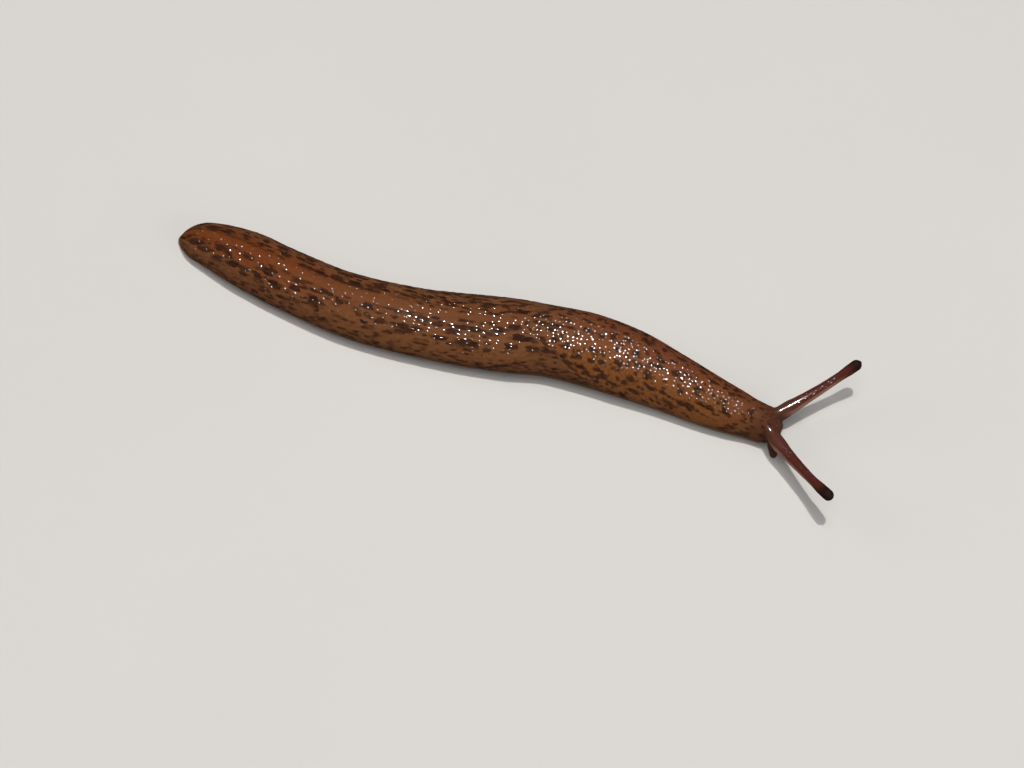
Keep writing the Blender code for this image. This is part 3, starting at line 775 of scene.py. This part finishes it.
class Finish:
    """A material and what its nodes are made with."""

    def __init__(self, name):
        self.material = bpy.data.materials.new(name)
        self.material.use_nodes = True
        self.tree = self.material.node_tree
        self.tree.nodes.clear()

    def node(self, kind, settings=None, values=None, output=0):
        made = self.tree.nodes.new("ShaderNode" + kind)
        for key, value in (settings or {}).items():
            setattr(made, key, value)
        for key, value in (values or {}).items():
            if isinstance(value, Sum):
                self.tree.links.new(value.socket, made.inputs[key])
            else:
                made.inputs[key].default_value = value
        return Sum(self, made.outputs[output]) if made.outputs else None

    def value(self, name):
        return self.node("Attribute", {"attribute_name": name}, output="Fac")

    def parts(self, of, kind="SeparateXYZ"):
        return [self.node(kind, values={0: of}, output=i) for i in range(3)]

    def places(self):
        """s, the way round and the way out along a tentacle, in millimetres."""
        return self.parts(self.node("Attribute", {"attribute_name": "place"}, output="Vector"))

    def join(self, x, y):
        return self.node("CombineXYZ", values={0: x, 1: y})

    def object_mm(self):
        """The place in the model in millimetres."""
        at = self.node("TexCoord", output="Object")
        return self.node("VectorMath", {"operation": "SCALE"}, {0: at, "Scale": 1 / MM})

    def noise(self, at, scale, detail=2.0, roughness=0.5, **more):
        values = {"Vector": at, "Scale": scale, "Detail": detail, "Roughness": roughness}
        return self.node("TexNoise", more, values)

    def mix(self, share, low, high):
        """low to high, two colours, by share."""
        low, high = (colour if isinstance(colour, Sum) else (*colour, 1) for colour in (low, high))
        return self.node("Mix", {"data_type": "RGBA"}, {0: share, 6: low, 7: high}, output=2)

    def coats(self, colour, *coats):
        """The colour under coats, each a share and a colour of its own, laid over it one by one."""
        for share, coat in coats:
            colour = self.mix(share, colour, coat)
        return colour

    def snapped(self, s, arc, cell, share):
        """s and arc drawn by share towards the middle of the tubercle that they lie on, so that what is
        painted there follows its edges. Cell is the length and width of a tubercle."""
        at = {"Vector": self.join(s * (1 / cell[0]), arc * (1 / cell[1])), "Scale": 1.0}
        x, y, _ = self.parts(self.node("TexVoronoi", {"voronoi_dimensions": "2D"}, at, output="Position"))
        kept = 1 - share
        return s * kept + x * (share * cell[0]), arc * kept + y * (share * cell[1])

    def cells(self, at, randomness):
        """Cells round one jittered point a square: the distance to the nearest point, and its three draws."""
        settings = {"voronoi_dimensions": "2D", "feature": "F1"}
        inputs = {"Vector": at, "Scale": 1.0, "Randomness": randomness}
        away = self.node("TexVoronoi", settings, inputs, output="Distance")
        draw = self.node("TexVoronoi", settings, inputs, output="Color")
        return away, *self.parts(draw, "SeparateColor")

    def blotches(self, s, arc, cell, shift, fill, size, soft, warp):
        """Spots in cells of the given length and width, some left empty: 1 inside a spot and 0 outside.

        fill is the share of cells that hold one, and size the least and the most of its radius in a cell. The
        shift moves the pattern, so that two don't match, and warp bends its edges.
        """
        x, y = s * (1 / cell[0]) + shift, arc * (1 / cell[1]) + shift * 0.37
        bent = (self.noise(self.join(x, y), 1.7, 3.0, 0.6, noise_dimensions="2D") - 0.5) * warp
        away, first, second, third = self.cells(self.join(x + bent, y - bent), 0.9)
        radius = first * (size[1] - size[0]) + size[0]
        there = (fill - second).step(0.0, 0.02) * (third * 0.2 + 0.8)
        return (radius - away).step(-soft, soft) * there

    def crown(self, away, size):
        """A dome over the place that away is the distance from: 1 less 0.6 of the square and 0.4 of the
        fourth power of away over size."""
        reach = away * away * (1 / size ** 2)
        return (1.0 - reach * (reach * 0.4 + 0.6)).above(0.0)

    def domes(self, s, arc, cell, share, size, faint):
        """Small round domes in a share of the cells, which have the given length and width: their height and
        how wet they are. Size is their radius in a cell, and faint is how wet the driest are."""
        away, first, second, third = self.cells(self.join(s * (1 / cell[0]), arc * (1 / cell[1])), 0.85)
        top = self.crown(away, size)
        raised = (share - first).step(0.0, 0.05)
        wet = raised * top.step(0.0, 0.3) * (third * (1 - faint) + faint)
        return top * raised * (second * 0.4 + 0.6), wet

    def shader(self, **values):
        inputs = {key.replace("_", " "): value for key, value in values.items()}
        return self.node("BsdfPrincipled", values=inputs)

    def skin_shader(self, colour, rough, coat, height, wet):
        """Dull, nearly flat skin, with wet and fully raised skin over it by wet."""
        low, full = (self.node("Bump", values={"Strength": raised, "Distance": DOME_HEIGHT, "Height": height})
                     for raised in (0.12, 1.0))
        dull = self.shader(Base_Color=colour, Roughness=rough, Coat_Weight=coat, Normal=low, **DULL, **FLESH)
        bright = self.shader(Base_Color=colour, Normal=full, **WET, **FLESH)
        return self.node("MixShader", values={0: wet * 0.45, 1: dull, 2: bright})

    def end(self, surface):
        self.node("OutputMaterial", values={"Surface": surface})
        return self.material


# Colours of the skin
BAND = (0.163, 0.055, 0.018)
TAIL_BAND = (0.160, 0.036, 0.006)
TAIL_TIP = (0.17, 0.085, 0.022)
FLANK = (0.178, 0.068, 0.025)
TAIL_FLANK = (0.105, 0.033, 0.012)
# the lower flanks' own duller tone, darkened further as painted shade near the ground
LOW_FLANK_AND_SHADE = (0.122, 0.046, 0.018)
HEAD_SKIN = (0.082, 0.025, 0.0135)
SPOT = (0.016, 0.004, 0.0022)
# painted shade for the grooves between tubercles
GROOVE_SHADE = (0.05, 0.018, 0.009)
PALE_FLECK = (0.28, 0.13, 0.06)
FOOT_RIM = (0.24, 0.13, 0.06)
FOOT_LINE = (0.12, 0.06, 0.03)
SOLE_SKIN = (0.30, 0.20, 0.12)
# painted shade for the inside of the mouth's slit
MOUTH_SHADE = (0.03, 0.01, 0.008)

# Of the tentacles and feelers
HORN_ROOT = (0.098, 0.029, 0.019)
HORN_SHAFT = (0.090, 0.016, 0.0095)
# painted light: the paler colour of the tentacles' side that light is painted shining through
HORN_GLOW_PAINT = (0.40, 0.20, 0.12)
HORN_END = (0.022, 0.009, 0.007)
FEELER_SKIN = (0.085, 0.027, 0.015)

# Of the mantle
MANTLE_LOW = (0.220, 0.075, 0.018)
# the mantle's own darker, redder top, and painted shade down its left side
MANTLE_HIGH_AND_SHADE = (0.165, 0.046, 0.015)
MANTLE_HEAD_END = (0.120, 0.040, 0.019)
# painted shade for the grooves between the mantle's grains
MANTLE_GROOVE_SHADE = (0.06, 0.018, 0.009)
MANTLE_FLECK = (0.30, 0.13, 0.05)
# painted shade for the inside of the breathing pore
PORE_SHADE = (0.05, 0.02, 0.012)

DULL = {"Specular_IOR_Level": 0.05, "Coat_Roughness": 0.16, "Coat_IOR": 1.65}
WET = {"Roughness": 0.14, "Specular_IOR_Level": 1.0, "IOR": 2.0}
FLESH = {"Subsurface_Weight": 0.1, "Subsurface_Radius": (1.0, 0.32, 0.16), "Subsurface_Scale": 0.0006}
DOME_HEIGHT = 0.00007  # of a wet dome, in metres


def skin_marks(f, s, arc, turn, side, horn, edge, cloud):
    """Rows beside the band, long marks on the left, small ones down the flanks and faint ones ahead."""
    x, y = f.snapped(s, arc, (0.85, 0.29), 0.65)
    front = 1.0 - s.step(75.6, 77.6)
    free = (side + (cloud - 0.5) * 8.0 + s.step(30.0, 38.0) * 4.0).step(7.0, 12.0)
    left = turn.step(-1.0, 1.0) * 53.0
    big = f.blotches(x + left, y.size() + 0.1, (2.3, 1.0), 3.0, 0.85, (0.22, 0.46), 0.12, 0.35)
    rows = free * (1.0 - edge.step(40.0, 60.0)) * (1.0 - turn.step(8.0, 16.0) * 0.7)
    closer = y * (1.0 + s.step(26.0, 40.0) * 0.6)
    long = f.blotches(x, closer, (2.5, 0.95), 53.0, 0.9, (0.28, 0.46), 0.1, 0.3)
    upper = free * turn.step(8.0, 16.0) * (1.0 - edge.step(85.0, 110.0))
    small = f.blotches(x, y, (1.25, 0.58), 17.0, 0.6, (0.2, 0.4), 0.14, 0.4)
    flanks = free * (1.0 - edge.step(105.0, 125.0))
    dashes = f.blotches(x, y, (1.0, 0.6), 29.0, 0.7, (0.2, 0.42), 0.15, 0.4)
    low = edge.step(50.0, 75.0) * (1.0 - edge.step(125.0, 131.0))
    marks = (big * rows).above(long * upper).above(small * flanks * 0.95).above(dashes * low * 0.85)
    faint = f.blotches(s, arc, (0.9, 0.6), 41.0, 0.6, (0.15, 0.42), 0.14, 0.7)
    return (marks * front).above(faint * s.step(74.8, 76.3) * 0.8 * (1.0 - horn.step(0.6, 2.0)))


def skin_finish():
    f = Finish("wet_skin")
    s, arc, horn = f.places()
    turn = f.value("turn")
    side = turn.size()
    object_at = f.object_mm()

    # ground colour, from the band on the back down to the foot
    cloud = f.noise(object_at, 0.35, 3.0, 0.55)
    mottle = f.noise(object_at, 2.2, 3.0, 0.6)
    edge = side + (cloud - 0.5) * 14.0
    tail = 1.0 - (s + (cloud - 0.5) * 8.0).step(6.0, 33.0)
    colour = f.coats(
        BAND,
        (edge.step(12.0, 40.0), FLANK),
        # the lower flanks: partly their own duller tone, and darker near the ground as painted shade
        (edge.step(60.0, 105.0), LOW_FLANK_AND_SHADE),
        (tail * edge.step(25.0, 60.0) * 0.5, TAIL_FLANK),
        (tail * (1.0 - edge.step(12.0, 55.0)) * 0.95, TAIL_BAND),
        ((s - edge.step(50.0, 90.0) * 0.7).step(75.0, 78.7), HEAD_SKIN))

    # what lies over it: marks, painted shade in the grooves, foot, tentacles with one side painted paler as
    # painted light shining through, and mouth with its slit painted dark as painted shade
    foot = f.value("foot")
    on_rim = foot.step(0.1, 0.8)
    lines = f.noise(f.join(s * 3.2, side * 0.02), 1.0, 3.0, 0.6, noise_dimensions="2D")
    # painted light: the tentacles are painted paler on one side, as if light shone through their thin skin
    # there
    painted_glow = f.value("under") * horn.step(0.6, 2.4) * (1.0 - horn.step(7.0, 10.5))
    colour = f.coats(
        colour,
        (skin_marks(f, s, arc, turn, side, horn, edge, cloud) * (1.0 + (mottle - 0.5) * 0.4), SPOT),
        # painted shade: the grooves between tubercles are painted darker
        (f.value("groove") * 0.15, GROOVE_SHADE),
        ((mottle - 0.35).step(0.0, 0.4) * 0.14, PALE_FLECK),
        (on_rim, FOOT_RIM),
        ((1.0 - s.step(0.005, 0.06)) * 0.6, TAIL_TIP),
        (on_rim * (lines - 0.4).step(0.0, 0.3) * 0.4, FOOT_LINE),
        (side.step(164.0, 172.0), SOLE_SKIN),
        (horn.step(0.2, 2.2), HORN_ROOT),
        ((horn + (mottle - 0.5) * 1.2).step(1.8, 5.2), HORN_SHAFT),
        (painted_glow * 0.8, HORN_GLOW_PAINT),
        (horn.step(10.2, 11.5), HORN_END),
        # painted shade: the mouth's slit is painted dark
        (f.value("mouth") * 0.8, MOUTH_SHADE),
        (f.value("feeler").step(0.6, 2.2) * 0.8, FEELER_SKIN))

    # wet domes: few towards the tail, many before the mantle, and fine ones on the tentacles
    few, on_few = f.domes(s, arc + s * 0.06, (1.2, 0.9), 0.9, 0.25, 0.3)
    many, on_many = f.domes(s, arc + s * 0.1, (0.95, 0.5), 0.65, 0.4, 0.2)
    ahead = s.step(29.0, 35.0)
    behind = 1.0 - ahead
    dots = {"Vector": object_at, "Scale": 2.2, "Randomness": 0.9}
    bead = f.crown(f.node("TexVoronoi", values=dots, output="Distance"), 0.5)
    bead = bead * horn.step(0.8, 4.5) * (1.0 - horn.step(8.0, 9.4))
    body = 1.0 - s.step(76.0, 77.6).above(foot)
    height = few * (1.5 - s.step(2.0, 9.0) * 0.5) * behind + many * ahead * 0.8
    wet = on_few * (2.0 - s.step(12.0, 26.0) * 1.4) * behind + on_many * ahead
    rough = 0.6 + (mottle - 0.5) * 0.2
    coat = s.step(78.4, 78.65) * (1.0 - foot * 0.7) * (1.0 - horn.step(10.4, 11.2))
    return f.end(f.skin_shader(colour, rough, coat, height * body + bead, wet * body + bead.step(0.1, 0.5)))


def mantle_finish():
    f = Finish("wet_mantle")
    s, arc, _ = f.places()
    turn = f.value("turn")
    object_at = f.object_mm()

    # ground colour, darker and redder over the top and all down the left side, at the rear and towards the
    # head: over the top this is the mantle's own tone, and down the left side it is painted shade
    cloud = f.noise(object_at, 0.35, 3.0, 0.55)
    mottle = f.noise(object_at, 2.4, 3.0, 0.6)
    colour = f.coats(
        MANTLE_LOW,
        # darker over the top as the mantle's own tone, and down the left side as painted shade
        ((turn + (cloud - 0.5) * 60.0).step(-40.0, 25.0), MANTLE_HIGH_AND_SHADE),
        ((1.0 - (s + (cloud - 0.5) * 8.0).step(47.0, 56.0)) * 0.8, FLANK),
        ((s + (cloud - 0.5) * 4.0).step(71.0, 77.0) * 0.6, MANTLE_HEAD_END))

    # markings, with a row of them along the rear half of the rim, then painted shade in the grooves and in
    # the pore
    x, y = f.snapped(s, arc, (0.42, 0.34), 0.5)
    big = f.blotches(x, y, (1.75, 1.35), 5.0, 0.62, (0.16, 0.36), 0.12, 0.5)
    long = f.blotches(x, y, (2.3, 0.9), 11.0, 0.48, (0.18, 0.4), 0.12, 0.6)
    small = f.blotches(x, y, (0.95, 0.75), 19.0, 0.5, (0.14, 0.36), 0.14, 0.4)
    edge_row = f.blotches(x, y, (1.2, 0.8), 23.0, 0.9, (0.3, 0.5), 0.12, 0.6)
    edge_row = edge_row * f.value("rim").step(0.0, 0.5) * (1.0 - s.step(64.0, 68.0))
    marks = big.above(long).above(small * 0.9).above(edge_row * 0.9) * (1.0 + (mottle - 0.5) * 0.3)
    colour = f.coats(
        colour,
        (marks, SPOT),
        # painted shade: the grooves between the grains are painted darker
        (f.value("groove") * 0.2, MANTLE_GROOVE_SHADE),
        ((mottle - 0.35).step(0.0, 0.4) * 0.14, MANTLE_FLECK),
        # painted shade: the pore is painted dark
        (f.value("pore") * 0.6, PORE_SHADE))

    dome, on_dome = f.domes(s, arc, (0.66, 0.62), 0.95, 0.42, 0.25)
    wet = on_dome * (1.9 - s.step(68.0, 74.0) * 0.9)
    return f.end(f.skin_shader(colour, 0.6 + (mottle - 0.5) * 0.2, 0.0, dome, wet))


def eye_finish():
    f = Finish("dark_eye")
    cloud = f.noise(f.object_mm(), 3.0, 2.0)
    colour = f.mix(cloud, (0.003, 0.004, 0.007), (0.009, 0.007, 0.008))
    return f.end(f.shader(Base_Color=colour, Roughness=0.12 + cloud * 0.08, Coat_Weight=1.0,
                          Coat_Roughness=0.14, Coat_IOR=1.7))


def floor_finish():
    f = Finish("pale_floor")
    cloud = f.noise(f.object_mm(), 0.02, 3.0)
    colour = f.mix(cloud, (0.66, 0.645, 0.62), (0.70, 0.685, 0.66))
    return f.end(f.shader(Base_Color=colour, Roughness=0.75 + cloud * 0.05))


# Stage

def aimed(name, data, at, target):
    made = put(name, data)
    made.location = at
    made.rotation_euler = (Vector(target) - made.location).to_track_quat("-Z", "Y").to_euler()
    return made


def lamp(target, name, at, size, power, colour):
    light = bpy.data.lights.new(name, "AREA")
    light.shape = "DISK"
    light.size, light.energy, light.color = size, power, colour
    return aimed(name, light, at, target)


def stage():
    x, y, z = FLOOR
    mesh = bpy.data.meshes.new("floor")
    mesh.from_pydata([(-x, -y, z), (x, -y, z), (x, y, z), (-x, y, z)], [], [(0, 1, 2, 3)])
    mesh.materials.append(floor_finish())
    floor = put("floor", mesh)
    floor.visible_glossy = False

    target = np.array(LOOK_AT) * MM
    azimuth, elevation = np.radians([AZIMUTH, ELEVATION])
    level = np.cos(elevation)
    away = np.array([level * np.sin(azimuth), -level * np.cos(azimuth), np.sin(elevation)])
    data = bpy.data.cameras.new("camera")
    data.lens, data.sensor_width, data.clip_start = LENS, 36.0, 0.01
    bpy.context.scene.camera = aimed("camera", data, target + away * DISTANCE * MM, target)

    lamp(target, *KEY_LAMP).visible_glossy = False
    lamp(target, *SPARK_LAMP).visible_diffuse = False
    for soft in SOFT_LAMPS:
        lamp(target, *soft).visible_glossy = False
    world = bpy.data.worlds.new("studio")
    world.use_nodes = True
    background = world.node_tree.nodes["Background"]
    background.inputs["Color"].default_value = (0.95, 0.97, 1.0, 1)
    background.inputs["Strength"].default_value = 0.05
    bpy.context.scene.world = world
    bpy.context.scene.view_settings.view_transform = "Standard"


skin(skin_finish())
mantle(mantle_finish())
eye_material = eye_finish()
for which in HORNS:
    eye(which, eye_material)
stage()
